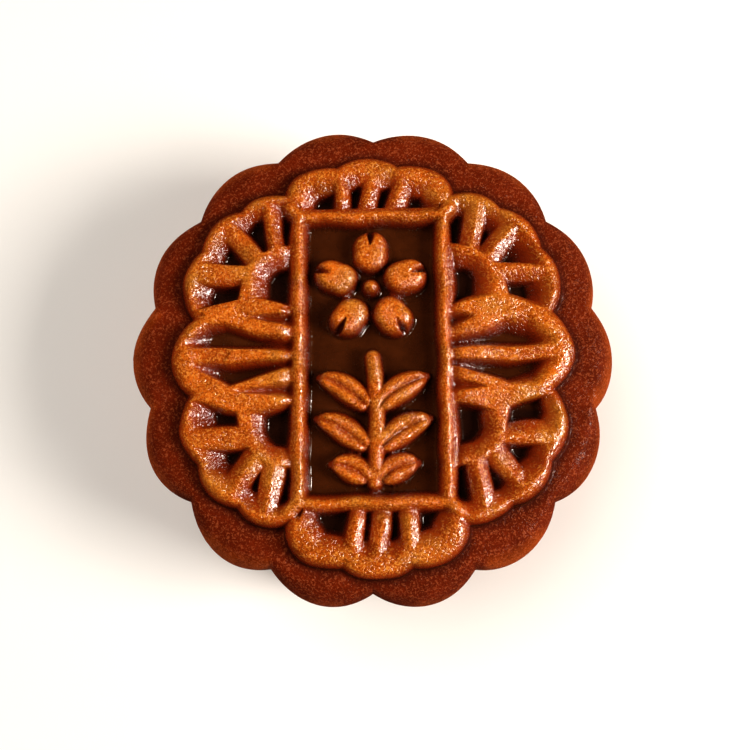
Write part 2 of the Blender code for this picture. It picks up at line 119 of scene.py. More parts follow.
@dataclass(frozen=True)
class Stroke:
    """A ridge or a groove along a line.

    Attributes:
        points: the line's corners, one row for each.
        flank: how it falls away on both sides.
        crown: half the width that stays at full strength.
        strength: the level of a ridge, or the depth of a groove.
        width: gives the factor of its width at a share of its length.
    """

    points: Array
    flank: Flank
    crown: float = 0.15
    strength: float = 1.0
    width: Callable[[Array], Array] = np.ones_like

    def at(self, x: Array, y: Array) -> Array:
        """Strength of the stroke at each point.

        Args:
            x, y: the points.

        Returns:
            The stroke's strength on its line, falling to 0 at the ends of its slopes.
        """
        slope = self.flank.value
        reach = 1.3 * (self.crown + slope.width)
        near = in_box(self.points.min(axis=0) - reach, self.points.max(axis=0) + reach, x, y)
        distance, _, along = nearest_on_line(self.points, x[near], y[near])
        width = np.maximum(self.width(along), 0.02)
        beyond = np.maximum(distance / width - self.crown, 0.0)
        strength = np.zeros_like(x)
        strength[near] = slope.fall(beyond) * self.strength * np.minimum(1.0, 1.6 * width)
        return strength

    def filled(self, x: Array, y: Array) -> Array:
        """Level of the ground that the stroke is the rim of: 1 on its left, and its slope on its right."""
        distance, side, _ = nearest_on_line(self.points, x, y)
        return np.where(side >= 0.0, 1.0, self.flank.value.fall(np.maximum(distance - self.crown, 0.0)))


def in_box(low: Array, high: Array, x: Array, y: Array) -> Array:
    """Which points lie in a box."""
    return (x > low[0]) & (x < high[0]) & (y > low[1]) & (y < high[1])


def nearest_on_line(points: Array, x: Array, y: Array) -> tuple[Array, Array, Array]:
    """Measure points against a polyline.

    Args:
        points: the polyline's corners.
        x, y: the points to measure.

    Returns:
        The distance to the line, the side of it (positive on the left) and the share of its length.
    """
    steps = np.hypot(*np.diff(points, axis=0).T)
    starts = np.concatenate([[0.0], np.cumsum(steps)])
    distance = np.full_like(x, np.inf)
    side = np.zeros_like(x)
    along = np.zeros_like(x)
    for first, second, start, step in zip(points[:-1], points[1:], starts, steps):
        run = second - first
        share = np.clip(((x - first[0]) * run[0] + (y - first[1]) * run[1]) / step**2, 0.0, 1.0)
        off_x = x - first[0] - share * run[0]
        off_y = y - first[1] - share * run[1]
        gap = np.hypot(off_x, off_y)
        closer = gap < distance
        distance = np.where(closer, gap, distance)
        side = np.where(closer, run[0] * off_y - run[1] * off_x, side)
        along = np.where(closer, (start + share * step) / starts[-1], along)
    return distance, side, along


def smooth_step(low: float, high: float, value: Array) -> Array:
    """Rise softly from 0 at low to 1 at high."""
    share = np.clip((value - low) / (high - low), 0.0, 1.0)
    return share * share * (3.0 - 2.0 * share)


def blend_highest(levels: Iterable[Array], sharpness: int = 9) -> Array:
    """The highest of several levels, with a soft join where two are alike."""
    return sum(level**sharpness for level in levels) ** (1.0 / sharpness)


def straight(start: Point, end: Point, bow: float = 0.0, count: int = 9) -> Array:
    """Points from start to end.

    Args:
        start: the first point.
        end: the last point.
        bow: how far the middle is bowed to the left.
        count: how many points.

    Returns:
        One row for each point.
    """
    first, last = np.array(start, dtype=float), np.array(end, dtype=float)
    share = np.linspace(0.0, 1.0, count)[:, None]
    run = last - first
    sideways = np.array([-run[1], run[0]]) / np.hypot(*run)
    return first + run * share + sideways * bow * 4.0 * share * (1.0 - share)


def on_arc(centre: Point, semi_axes: Point, swell: float, degrees: float) -> Point:
    """The point at an angle on an ellipse that is grown by a swell."""
    along_x, along_y = math.cos(math.radians(degrees)), math.sin(math.radians(degrees))
    return (centre[0] + (semi_axes[0] + swell) * along_x, centre[1] + (semi_axes[1] + swell) * along_y)


def scalloped_arc(centre: Point, semi_axes: Point, cusps: Sequence[float], bulge: float) -> Array:
    """An elliptic arc that bulges out between each two of its cusps.

    Args:
        centre: the ellipse's centre.
        semi_axes: the ellipse's reach along x and along y.
        cusps: the angles of the cusps, in degrees.
        bulge: how far each lobe stands out.

    Returns:
        One row for each point.
    """
    points = []
    for start, end in zip(cusps[:-1], cusps[1:]):
        for share in np.linspace(0.0, 1.0, LOBE_POINTS, endpoint=end == cusps[-1]):
            swell = bulge * math.sin(math.pi * share) ** 0.8
            points.append(on_arc(centre, semi_axes, swell, start + (end - start) * share))
    return np.array(points)


class Uneven(Enum):
    """The smooth uneven fields of a hand-pressed cake, each with the seed of its waves."""

    SWAY_ACROSS = 11
    SWAY_UP = 12
    TOP_SWELLS = 21
    TOP_LUMPS = 22
    SIDE_SWELLS = 31


def waves(x: Array, y: Array, wavelength: float, uneven: Uneven, count: int = 14) -> Array:
    """A smooth uneven field, the same each run.

    Args:
        x, y: the points.
        wavelength: the distance between two swells.
        uneven: which of the fields.
        count: how many waves are summed.

    Returns:
        A field with a mean of 0 and swells of about 1.
    """
    random = np.random.default_rng(uneven.value)
    total = np.zeros_like(x)
    for _ in range(count):
        heading = random.uniform(0.0, 2.0 * math.pi)
        pace = 2.0 * math.pi / (wavelength * random.uniform(0.75, 1.4))
        total += np.cos((x * math.cos(heading) + y * math.sin(heading)) * pace + random.uniform(0.0, 6.3))
    return total * math.sqrt(2.0 / count)


# The parts of the pressed pattern


class Side(Enum):
    """The side of the panel that a wing or a fan lies on, as the sign of its axis."""

    PLUS = 1
    MINUS = -1


@dataclass(frozen=True)
class PanelFrame:
    """The four rounded bars round the sunk panel, by the middle lines of the bars.

    A short spur runs out from each corner and joins it to the fans.
    """

    left: float = -11.2
    right: float = 11.0
    bottom: float = -22.3
    top: float = 21.6
    spur: float = 1.4
    bar_crown: float = 0.1
    spur_crown: float = 0.3

    def strokes(self) -> list[Stroke]:
        """Draw the frame.

        Returns:
            The bars, as one closed stroke, and the spurs.
        """
        corners = (
            (self.left, self.bottom),
            (self.right, self.bottom),
            (self.right, self.top),
            (self.left, self.top),
            (self.left, self.bottom),
        )
        strokes = [Stroke(np.array(corners), Flank.BAR, self.bar_crown)]
        for x, y in corners[:-1]:
            end = (x + math.copysign(self.spur, x), y + math.copysign(self.spur, y))
            strokes.append(Stroke(straight((x, y), end), Flank.BAR, self.spur_crown))
        return strokes

    def outside(self, x: Array, y: Array) -> Array:
        """How far a point lies outside the bars' middle lines, negative inside."""
        return np.maximum.reduce([self.left - x, x - self.right, self.bottom - y, y - self.top])


@dataclass(frozen=True)
class Pit:
    """A hollow left by one tooth of the mould: flat facets slope in from its rim, then it drops steeply.

    Attributes:
        corners: the corners of its rim, counter-clockwise: for each, its x, its y and the width of the
            facet that starts there.
        facet_fall: the level that a facet falls in a millimetre.
        wall_fall: the level that the wall past a facet falls in a millimetre.
    """

    corners: tuple[tuple[float, float, float], ...]
    facet_fall: float = 0.2
    wall_fall: float = 1.2

    def depth(self, x: Array, y: Array) -> Array:
        """How deep the pit is at each point.

        Args:
            x, y: the points.

        Returns:
            The share of the relief's depth that is cut away.
        """
        places = np.array(self.corners)
        near = in_box(places.min(axis=0), places.max(axis=0), x, y)
        share = np.ones(np.count_nonzero(near))
        for (first_x, first_y, width), (last_x, last_y, _) in zip(places, np.roll(places, -1, axis=0)):
            run_x, run_y = last_x - first_x, last_y - first_y
            inward = (run_x * (y[near] - first_y) - run_y * (x[near] - first_x)) / math.hypot(run_x, run_y)
            facet = self.facet_fall * np.minimum(inward, width)
            share = np.minimum(share, facet + self.wall_fall * np.maximum(inward - width, 0.0))
        depth = np.zeros_like(x)
        depth[near] = np.maximum(share, 0.0)
        return depth


@dataclass(frozen=True)
class Gap:
    """Where a fan's pit lies between two ribs.

    Attributes:
        roots: its start and its end on the fan's inner line.
        tips: its start and its end on the fan's rim, in degrees.
        facets: the widths of its facets at its start, at the rim, at its end and at the inner line.
    """

    roots: Point
    tips: Point
    facets: tuple[float, float, float, float]

    def pit(self, fan: "CornerFan | EndFan") -> Pit:
        """The pit in this gap.

        Args:
            fan: the fan, which places the gap's roots and tips.

        Returns:
            The pit, with its corners counter-clockwise.
        """
        (root, next_root), (tip, next_tip) = self.roots, self.tips
        points = (
            fan.root_point(root),
            fan.tip_point(tip, 0.0),
            fan.tip_point((tip + next_tip) / 2.0, 0.5),
            fan.tip_point(next_tip, 0.0),
            fan.root_point(next_root),
        )
        start, rim, end, inner = self.facets
        return Pit(tuple((*point, width) for point, width in zip(points, (start, rim, rim, end, inner))))


@dataclass(frozen=True)
class CornerFan:
    """A fan at a corner of the frame: three lobes round a hub, with pits that leave ribs between them.

    It is laid out in the +X +Y quarter and mirrored. A gap's roots are angles round the hub.
    """

    mirror: tuple[Side, Side]
    gaps: tuple[Gap, ...]
    hub_facet: float
    hub: Point = (12.2, 8.9)
    root_axes: Point = (8.1, 8.1)
    tip_axes: Point = (15.3, 15.3)
    crest_axes: Point = (14.4, 14.4)
    lobe_bulge: float = 1.25
    lobe_cusps: tuple[float, ...] = (-7.0, 28.5, 60.0, 90.0)
    hub_angles: tuple[float, ...] = (0.0, 27.0, 46.0, 64.0, 88.0)
    hub_axes: Point = (6.4, 6.4)
    hub_swell: float = 1.3
    hub_foot: Point = (12.3, 7.4)

    def hub_pit(self) -> Pit:
        """The pit inside the hub's arc, closed by the wing and the bar.

        Returns:
            The pit, which has no facet at the wing or at the bar.
        """
        corners = [(*self.hub_foot, 0.0)]
        for angle in self.hub_angles:
            swell = self.hub_swell * math.sin(1.6 * math.radians(angle))
            corners.append((*on_arc(self.hub, self.hub_axes, swell, angle), self.hub_facet))
        corners[-1] = (*corners[-1][:2], 0.0)
        return Pit(tuple(corners))

    def root_point(self, angle: float) -> Point:
        """The point at an angle on the line where the ribs spring from the hub."""
        return on_arc(self.hub, self.root_axes, 0.0, angle)

    def tip_point(self, angle: float, bulged: float) -> Point:
        """The point at an angle on the line of the pits' outer ends, out by a share of the lobes' bulge."""
        return on_arc(self.hub, self.tip_axes, bulged * self.lobe_bulge, angle)

    def level(self, x: Array, y: Array) -> Array:
        """Level of the fan with its pits.

        Args:
            x, y: the points.

        Returns:
            The level, 0 outside the fan.
        """
        across, up = x * self.mirror[0].value, y * self.mirror[1].value
        line = scalloped_arc(self.hub, self.crest_axes, self.lobe_cusps, self.lobe_bulge)
        pits = [gap.pit(self) for gap in self.gaps] + [self.hub_pit()]
        return carve(Stroke(line, Flank.RIM, RIM_CROWN), pits, across, up, (across > 0.0) & (up > 0.0))


@dataclass(frozen=True)
class EndFan:
    """A fan above or below the frame: three lobes on an elliptic arc, with ribs between its pits.

    It is laid out on the +Y side and mirrored. A gap's roots are the x of its ends at the bar.
    """

    side: Side
    gaps: tuple[Gap, ...]
    centre: Point
    semi_axes: Point
    lobe_cusps: tuple[float, ...]
    lobe_bulge: float = 1.55
    root_height: float = 22.9
    tip_margin: float = 0.2
    lowest: float = 20.0

    def root_point(self, across: float) -> Point:
        """The point at an x on the line where the ribs spring from the bar."""
        return (across, self.root_height)

    def tip_point(self, angle: float, bulged: float) -> Point:
        """The point at an angle on the line of the pits' outer ends, out by a share of the lobes' bulge."""
        return on_arc(self.centre, self.semi_axes, bulged * self.lobe_bulge - self.tip_margin, angle)

    def level(self, x: Array, y: Array) -> Array:
        """Level of the fan with its pits.

        Args:
            x, y: the points.

        Returns:
            The level, 0 outside the fan.
        """
        up = y * self.side.value
        line = scalloped_arc(self.centre, self.semi_axes, self.lobe_cusps, self.lobe_bulge)
        pits = [gap.pit(self) for gap in self.gaps]
        return carve(Stroke(line, Flank.RIM, RIM_CROWN), pits, x, up, up > self.lowest)


def carve(rim: Stroke, pits: Sequence[Pit], x: Array, y: Array, within: Array) -> Array:
    """Cut pits into the ground inside a rim.

    Args:
        rim: the rim, with the ground on its left.
        pits: the pits.
        x, y: the points.
        within: which points the ground may reach.

    Returns:
        The level of the carved ground, 0 outside it.
    """
    level = np.zeros_like(x)
    ground = rim.filled(x[within], y[within])
    depths = [pit.depth(x[within], y[within]) for pit in pits]
    level[within] = np.minimum(ground, 1.0 - np.maximum.reduce(depths))
    return level


@dataclass(frozen=True)
class Station:
    """A cross-section of a slit, at a distance along the wing; its lines are given by their y.

    Attributes:
        along: the distance from the middle of the cake.
        rib: where the wall on the rib's side starts to fall.
        near: the floor's edge on the rib's side.
        far: the floor's other edge.
        pad: the crest that the far wall rises to.
        depth: the share of the full depth.
    """

    along: float
    rib: float
    near: float
    far: float
    pad: float
    depth: float = 0.95


@dataclass(frozen=True)
class Slit:
    """A slit between a wing's middle rib and a pad, lofted through stations from the bar to its tip."""

    stations: tuple[Station, ...]
    tip_length: float = 0.6

    def depth(self, outward: Array, y: Array) -> Array:
        """How deep the slit cuts, on a wing that points along +X.

        Args:
            outward: distance from the middle of the cake along the wing.
            y: the points' y.

        Returns:
            The share of the relief's depth that is cut away.
        """
        along = [station.along for station in self.stations]
        lines = zip(*[(s.rib, s.near, s.far, s.pad, s.depth) for s in self.stations])
        rib, near, far, pad, depth = (np.interp(outward, along, line) for line in lines)
        rib_share = np.clip((y - rib) / (near - rib), 0.0, 1.0)
        pad_share = np.clip((pad - y) / (pad - far), 0.0, 1.0)
        tip = smooth_step(along[-1], along[-1] - self.tip_length, outward)
        return depth * np.minimum(rib_share**0.9, pad_share**1.25) * tip


@dataclass(frozen=True)
class Wing:
    """The broad pillowy petal at one side of the frame, with a slit at each side of its middle rib.

    Attributes:
        middle: the y of its middle.
        grooves: the ends of the two short grooves beside the bar.
        centre: where its widest part lies.
        dish: how far its outer half dips inside its rim.
    """

    side: Side
    middle: float
    slits: tuple[Slit, Slit]
    grooves: tuple[tuple[Point, Point], ...]
    centre: float = 18.0
    outer_reach: float = 13.15
    inner_reach: float = 9.6
    half_width: float = 9.35
    edge: Slope = Slope(2.7, 3.0, 0.64)
    dish: float = 0.13
    groove_depth: float = 0.55

    def level(self, x: Array, y: Array) -> Array:
        """Level of the wing, before its slits are cut.

        Args:
            x, y: the points.

        Returns:
            The level, 0 outside the wing.
        """
        outward = x * self.side.value - self.centre
        across = outward / np.where(outward > 0.0, self.outer_reach, self.inner_reach)
        ratio = np.hypot(across, (y - self.middle) / self.half_width)
        # Near the middle, where no slope reaches, the distance inside the edge is only a large number.
        inside = (1.0 - ratio) * np.where(ratio > 0.3, self.half_width + 1.6 * np.abs(across), 99.0)
        level = self.edge.fall(np.maximum(self.edge.width - inside, 0.0))
        level = level - self.dish * smooth_step(1.9, 5.0, inside) * smooth_step(-5.0, 4.0, outward)
        return np.where(x * self.side.value > 0.0, level, 0.0)

    def cut(self, x: Array, y: Array) -> Array:
        """Depth of the slits and of the grooves.

        Args:
            x, y: the points.

        Returns:
            The share of the relief's depth that is cut away.
        """
        outward = x * self.side.value
        depths = [slit.depth(outward, y) for slit in self.slits]
        for start, end in self.grooves:
            line = straight(start, end)
            groove = Stroke(line, Flank.GROOVE, 0.0, self.groove_depth, opening_width)
            depths.append(groove.at(outward, y))
        return np.where(outward > 0.0, np.maximum.reduce(depths), 0.0)


@dataclass(frozen=True)
class Blossom:
    """A five-petalled blossom in the upper half of the panel, round a knob."""

    centre: Point = (-0.2, 10.4)
    petals: int = 5
    petal_start: float = 5.0
    petal_end: float = 6.3
    petal_crown: float = 1.15
    notch_start: float = 6.6
    notch_end: float = 9.6
    notch_depth: float = 0.9
    knob_crown: float = 0.2
    knob_level: float = 0.92

    def petal_lines(self, start: float, end: float, count: int = 9) -> list[Array]:
        """The line from one radius to another along the middle of each petal.

        Args:
            start: the inner radius.
            end: the outer radius.
            count: points for each line.

        Returns:
            One line for each petal.
        """
        lines = []
        for angle in (90.0 + number * 360.0 / self.petals for number in range(self.petals)):
            first, last = (on_arc(self.centre, (radius, radius), 0.0, angle) for radius in (start, end))
            lines.append(straight(first, last, count=count))
        return lines

    def ridges(self) -> list[Stroke]:
        """The round petals and the knob in the middle.

        Returns:
            A stroke for each.
        """
        lines = self.petal_lines(self.petal_start, self.petal_end, 3)
        x, y = self.centre
        knob = straight((x - 0.05, y), (x + 0.05, y), count=2)
        petals = [Stroke(line, Flank.PETAL, self.petal_crown) for line in lines]
        return petals + [Stroke(knob, Flank.BAR, self.knob_crown, self.knob_level)]

    def grooves(self) -> list[Stroke]:
        """The notch in the outer edge of each petal."""
        lines = self.petal_lines(self.notch_start, self.notch_end)
        return [Stroke(line, Flank.NOTCH, 0.0, self.notch_depth, opening_width) for line in lines]


@dataclass(frozen=True)
class Sprig:
    """A leafy sprig in the lower half of the panel: a stem with pairs of leaves.

    Attributes:
        stem: the stem's top and foot.
        leaf_pairs: for each pair, the y of its root and the reach across and up to its tips.
    """

    stem: tuple[Point, Point] = ((0.0, -0.6), (0.0, -19.4))
    leaf_pairs: tuple[tuple[float, float, float], ...] = (
        (-8.4, 8.2, 4.9),
        (-14.6, 8.4, 4.7),
        (-19.3, 6.4, 2.6),
    )
    stem_bow: float = 0.5
    stem_level: float = 0.97
    leaf_root: float = 0.9
    leaf_bow: float = 0.7
    leaf_crown: float = 1.0
    vein_depth: float = 0.28

    def leaf_lines(self) -> list[Array]:
        """The middle line of each leaf.

        Returns:
            One line for each leaf, from the stem out to the tip.
        """
        lines = []
        for root, across, up in self.leaf_pairs:
            for sign in (side.value for side in Side):
                start, end = (sign * self.leaf_root, root), (sign * across, root + up)
                lines.append(straight(start, end, sign * self.leaf_bow))
        return lines

    def ridges(self) -> list[Stroke]:
        """The stem and the leaves."""
        leaves = [Stroke(line, Flank.LEAF, self.leaf_crown, 1.0, leaf_width) for line in self.leaf_lines()]
        return [Stroke(straight(*self.stem, self.stem_bow), Flank.STEM, strength=self.stem_level), *leaves]

    def grooves(self) -> list[Stroke]:
        """The vein along the middle of each leaf."""
        return [Stroke(line, Flank.VEIN, 0.0, self.vein_depth, leaf_width) for line in self.leaf_lines()]


RIGHT_WING = Wing(
    Side.PLUS,
    0.4,
    (
        Slit(
            (
                Station(12.2, 0.5, 1.35, 1.6, 2.5, 0.6),
                Station(17.4, 0.65, 1.9, 2.2, 4.1),
                Station(20.3, 0.6, 1.95, 3.0, 5.4),
                Station(23.5, 0.5, 1.8, 2.05, 6.4),
                Station(28.0, 0.3, 1.2, 1.4, 2.4, 0.0),
            )
        ),
        Slit(
            (
                Station(12.2, -0.8, -1.35, -1.6, -2.2, 0.6),
                Station(17.2, -1.2, -2.15, -2.7, -3.65),
                Station(20.6, -1.3, -2.5, -3.8, -5.2),
                Station(24.1, -1.25, -1.85, -2.5, -5.4),
                Station(28.2, -0.5, -0.9, -1.0, -1.9, 0.0),
            )
        ),
    ),
    grooves=(((15.4, 5.6), (12.2, 5.0)), ((16.6, -5.3), (12.2, -5.0))),
)
LEFT_WING = Wing(
    Side.MINUS,
    -0.4,
    (
        Slit(
            (
                Station(13.0, 0.3, 1.3, 1.55, 2.7, 0.6),
                Station(17.5, 0.7, 1.85, 2.15, 3.35),
                Station(22.6, 0.85, 1.9, 3.6, 5.1),
                Station(24.7, 0.8, 1.8, 2.9, 5.3),
                Station(29.4, 0.7, 1.5, 1.7, 2.4, 0.0),
            )
        ),
        Slit(
            (
                Station(13.0, -0.6, -1.35, -1.55, -2.5, 0.6),
                Station(17.7, -0.75, -2.2, -2.65, -3.65),
                Station(21.7, -1.25, -2.8, -4.1, -5.1),
                Station(23.6, -1.0, -2.3, -3.2, -4.0, 0.85),
                Station(27.7, -0.7, -1.3, -1.45, -2.0, 0.0),
            )
        ),
    ),
    grooves=(((19.4, 5.95), (12.2, 5.3)), ((20.6, -5.5), (12.2, -5.5))),
)
CORNER_FANS = (
    CornerFan(
        (Side.PLUS, Side.PLUS),
        (
            Gap((-2.0, 28.0), (-10.0, 14.0), (0.0, 3.6, 1.7, 0.7)),
            Gap((35.0, 45.0), (15.0, 47.5), (0.5, 5.0, 1.6, 0.4)),
            Gap((46.0, 66.0), (48.5, 72.5), (1.8, 3.6, 1.2, 0.3)),
            Gap((67.0, 91.0), (73.5, 93.0), (1.7, 2.6, 0.0, 0.1)),
        ),
        2.6,
    ),
    CornerFan(
        (Side.MINUS, Side.PLUS),
        (
            Gap((-2.0, 22.0), (-8.0, 11.5), (0.0, 2.9, 1.0, 0.1)),
            Gap((34.0, 47.0), (20.0, 48.0), (0.3, 2.8, 1.6, 0.4)),
            Gap((54.0, 70.5), (51.0, 74.5), (0.4, 2.0, 0.9, 0.2)),
            Gap((72.0, 89.0), (75.5, 90.5), (1.3, 2.6, 0.1, 0.1)),
        ),
        2.3,
    ),
    CornerFan(
        (Side.MINUS, Side.MINUS),
        (
            Gap((-2.0, 20.0), (-8.0, 11.0), (0.0, 3.6, 0.8, 0.1)),
            Gap((34.0, 48.5), (18.0, 52.0), (0.7, 3.6, 1.8, 0.4)),
            Gap((53.0, 69.5), (53.5, 74.5), (1.3, 2.6, 1.5, 0.6)),
            Gap((71.5, 89.0), (75.5, 90.0), (1.5, 1.8, 0.1, 0.1)),
        ),
        1.9,
    ),
    CornerFan(
        (Side.PLUS, Side.MINUS),
        (
            Gap((-4.0, 28.5), (-10.0, 13.5), (0.0, 2.2, 2.0, 0.0)),
            Gap((32.5, 47.0), (17.5, 49.0), (0.6, 2.8, 1.6, 0.3)),
            Gap((48.5, 67.0), (49.5, 73.5), (1.5, 2.4, 1.3, 0.4)),
            Gap((69.0, 91.0), (74.0, 92.0), (1.6, 2.2, 0.0, 0.1)),
        ),
        2.1,
    ),
)
END_FANS = (
    EndFan(
        Side.PLUS,
        (
            Gap((11.2, 3.9), (17.0, 62.0), (1.2, 2.3, 1.4, 0.0)),
            Gap((3.3, -0.5), (63.0, 85.0), (1.1, 2.0, 1.0, 0.0)),
            Gap((-1.1, -4.4), (87.0, 113.0), (0.9, 2.0, 1.0, 0.0)),
            Gap((-4.7, -10.8), (115.0, 164.0), (0.7, 2.0, 1.9, 0.0)),
        ),
        (-0.2, 23.3),
        (11.6, 5.2),
        (12.0, 70.0, 112.0, 168.0),
    ),
    EndFan(
        Side.MINUS,
        (
            Gap((12.2, 5.2), (12.0, 64.0), (1.3, 2.2, 1.2, 0.0)),
            Gap((4.7, 1.4), (66.0, 88.0), (1.1, 2.4, 0.9, 0.0)),
            Gap((1.0, -2.5), (90.0, 107.0), (1.2, 2.4, 1.0, 0.0)),
            Gap((-2.7, -10.5), (110.0, 166.0), (0.9, 2.0, 1.7, 0.0)),
        ),
        (0.3, 24.2),
        (11.9, 6.3),
        (12.0, 67.0, 113.0, 168.0),
        root_height=23.4,
        tip_margin=0.5,
    ),
)


@dataclass(frozen=True)
class PressedTop:
    """The whole pattern that the mould presses into the top.

    Attributes:
        turn: how far the pattern is turned against the flutes, in radians.
        reach: the radius past which the top is plain.
        sway: how far a hand-pressed line strays from true.
        fan_height: the fans' level beside that of the wings.
        beside_bar: the level to which the ground dips beside the bars.
    """

    turn: float = math.radians(0.8)
    reach: float = 34.0
    sway: float = 0.07
    sway_length: float = 7.0
    fan_height: float = 0.92
    beside_bar: float = 0.78
    frame: PanelFrame = PanelFrame()
    wings: tuple[Wing, ...] = (LEFT_WING, RIGHT_WING)
    fans: tuple[CornerFan | EndFan, ...] = CORNER_FANS + END_FANS
    motifs: tuple[Blossom | Sprig, ...] = (Blossom(), Sprig())

    def level(self, x: Array, y: Array) -> Array:
        """Level of the whole pattern.

        Args:
            x, y: the points.

        Returns:
            The level, 0 past the pattern's reach.
        """
        turned_x = x * math.cos(self.turn) + y * math.sin(self.turn)
        turned_y = y * math.cos(self.turn) - x * math.sin(self.turn)
        swayed = (
            turned_x + self.sway * waves(x, y, self.sway_length, Uneven.SWAY_ACROSS),
            turned_y + self.sway * waves(x, y, self.sway_length, Uneven.SWAY_UP),
        )
        fans = [self.fan_height * fan.level(*swayed) for fan in self.fans]
        wings = [wing.level(*swayed) for wing in self.wings]
        slits = np.maximum.reduce([wing.cut(*swayed) for wing in self.wings])
        outside = self.frame.outside(*swayed)
        dip = self.beside_bar + (1.0 - self.beside_bar) * smooth_step(1.2, 2.6, outside)
        surround = np.minimum(blend_highest([np.maximum.reduce(fans), *wings]), 1.0 - slits)
        surround = surround * smooth_step(-0.1, 0.4, outside) * dip

        ridges = [ridge for motif in self.motifs for ridge in motif.ridges()]
        motifs = blend_highest([ridge.at(*swayed) for ridge in ridges])
        for groove in [groove for motif in self.motifs for groove in motif.grooves()]:
            motifs = np.minimum(motifs, 1.0 - groove.at(*swayed))
        bars = [stroke.at(*swayed) for stroke in self.frame.strokes()]
        level = np.minimum(blend_highest([surround, motifs, *bars]), HIGHEST_LEVEL)
        return level * smooth_step(self.reach, self.reach - 0.8, np.hypot(x, y))

    def outline(self, count: int = 720) -> Array:
        """The pattern's outer edge.

        Args:
            count: how many steps it is measured in.

        Returns:
            Its radius at evenly spaced angles from -pi to pi.
        """
        radius = np.linspace(20.0, self.reach, 220)
        angle = np.linspace(-math.pi, math.pi, count + 1)
        radii, angles = np.meshgrid(radius, angle)
        level = self.level(radii * np.cos(angles), radii * np.sin(angles))
        last = level.shape[1] - 1 - np.argmax((level > 0.3)[:, ::-1], axis=1)
        return radius[last]


# Finishes


def linear(code: str) -> tuple[float, float, float, float]:
    """Turn an sRGB hex colour such as #C86C2A into linear light with full alpha."""
    values = [int(code[place : place + 2], 16) / 255.0 for place in (1, 3, 5)]
    light = [value / 12.92 if value <= 0.04045 else ((value + 0.055) / 1.055) ** 2.4 for value in values]
    return (*light, 1.0)


class Node(Enum):
    """The nodes that the finishes and the room are made of: the type, the output read and the settings.

    CARRIED takes a value, a low and a high, and the two that these are carried onto.
    """

    PLACE = ("ShaderNodeTexCoord", "Object", {})
    HEADING = ("ShaderNodeTexCoord", "Generated", {})
    UP = ("ShaderNodeSeparateXYZ", "Z", {})
    MEASURE = ("ShaderNodeAttribute", "Fac", {})
    NOISE = ("ShaderNodeTexNoise", "Fac", {})
    CARRIED = ("ShaderNodeMapRange", "Result", {})
    LARGER = ("ShaderNodeMath", 0, {"operation": "MAXIMUM"})
    PRODUCT = ("ShaderNodeMath", 0, {"operation": "MULTIPLY"})
    BETWEEN = ("ShaderNodeMix", "Result", {"data_type": "FLOAT"})
    RAMP = ("ShaderNodeValToRGB", "Color", {})
    LAID_OVER = ("ShaderNodeMix", 2, {"data_type": "RGBA"})
    SCALED = ("ShaderNodeVectorMath", "Vector", {"operation": "SCALE"})
    BUMPED = ("ShaderNodeBump", "Normal", {})


def add_node(
    tree: bpy.types.NodeTree,
    kind: Node,
    *values: Any,
    inputs: dict[Any, Any] | None = None,
    stops: dict[float, str] | None = None,
    **settings: Any,
) -> Socket:
    """Add a node to a material or a world. Each input takes a value or the output that it is linked to.

    Args:
        tree: the node tree.
        kind: what the node does.
        *values: its first inputs, in order.
        inputs: its other inputs, by name or number.
        stops: the sRGB hex colours of a ramp, by their places from 0 to 1.
        **settings: what it is set to, beyond the settings of its kind.

    Returns:
        The node's output.
    """
    shader_type, output, own_settings = kind.value
    node = tree.nodes.new(shader_type)
    for name, value in (own_settings | settings).items():
        setattr(node, name, value)
    for key, value in (dict(enumerate(values)) | (inputs or {})).items():
        if isinstance(value, Socket):
            tree.links.new(value, node.inputs[key])
        else:
            node.inputs[key].default_value = value
    if stops:
        elements = node.color_ramp.elements
        while len(elements) < len(stops):
            elements.new(0.5)
        for element, (place, code) in zip(elements, sorted(stops.items())):
            element.position, element.color = place, linear(code)
    return node.outputs[output]


@dataclass(frozen=True)
class Skin:
    """What the crust's colour, gloss and bumps go by.

    Attributes:
        rise, pooled, outward: the measures stored on the skin.
        grains, lumps, blotches, patches: noises of the dough and its baking, each about 0.5 on average.
    """

    rise: Socket
    pooled: Socket
    outward: Socket
    grains: Socket
    lumps: Socket
    blotches: Socket
    patches: Socket


